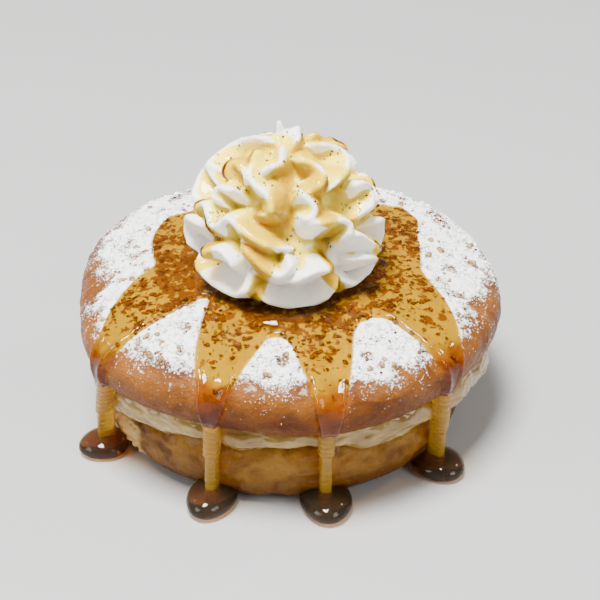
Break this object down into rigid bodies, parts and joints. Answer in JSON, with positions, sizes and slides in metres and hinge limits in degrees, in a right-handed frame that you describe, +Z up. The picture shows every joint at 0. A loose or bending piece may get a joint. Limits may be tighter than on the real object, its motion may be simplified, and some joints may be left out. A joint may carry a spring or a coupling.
{
  "type": "filled doughnut with syrup and cream",
  "caption": "Round yeast bun split and filled with custard, dusted with sugar, under poured syrup and a ruffled rosette of piped cream.",
  "frame": {"origin": "middle of the flat base of the lower bun", "axes": "+Z up through the bun's middle; the front, where the syrup runs down to the plate, faces -Y; +X to the right"},
  "size_m": [0.0975, 0.101, 0.0786],
  "materials": {
    "dough": "fried dough with a thin brown skin and a torn, paler crumb in places",
    "custard": "smooth pale yellow custard, moist and softly shining",
    "crust": "orange-brown fried crust under fine white sugar, with clear amber syrup and specks of spice over it",
    "cream": "soft white whipped cream with thin golden syrup in its folds"
  },
  "bodies": {
    "root": {"bottom_bun": "dough", "custard": "custard", "top_bun": "crust", "whipped_cream": "cream"}
  },
  "joints": []
}
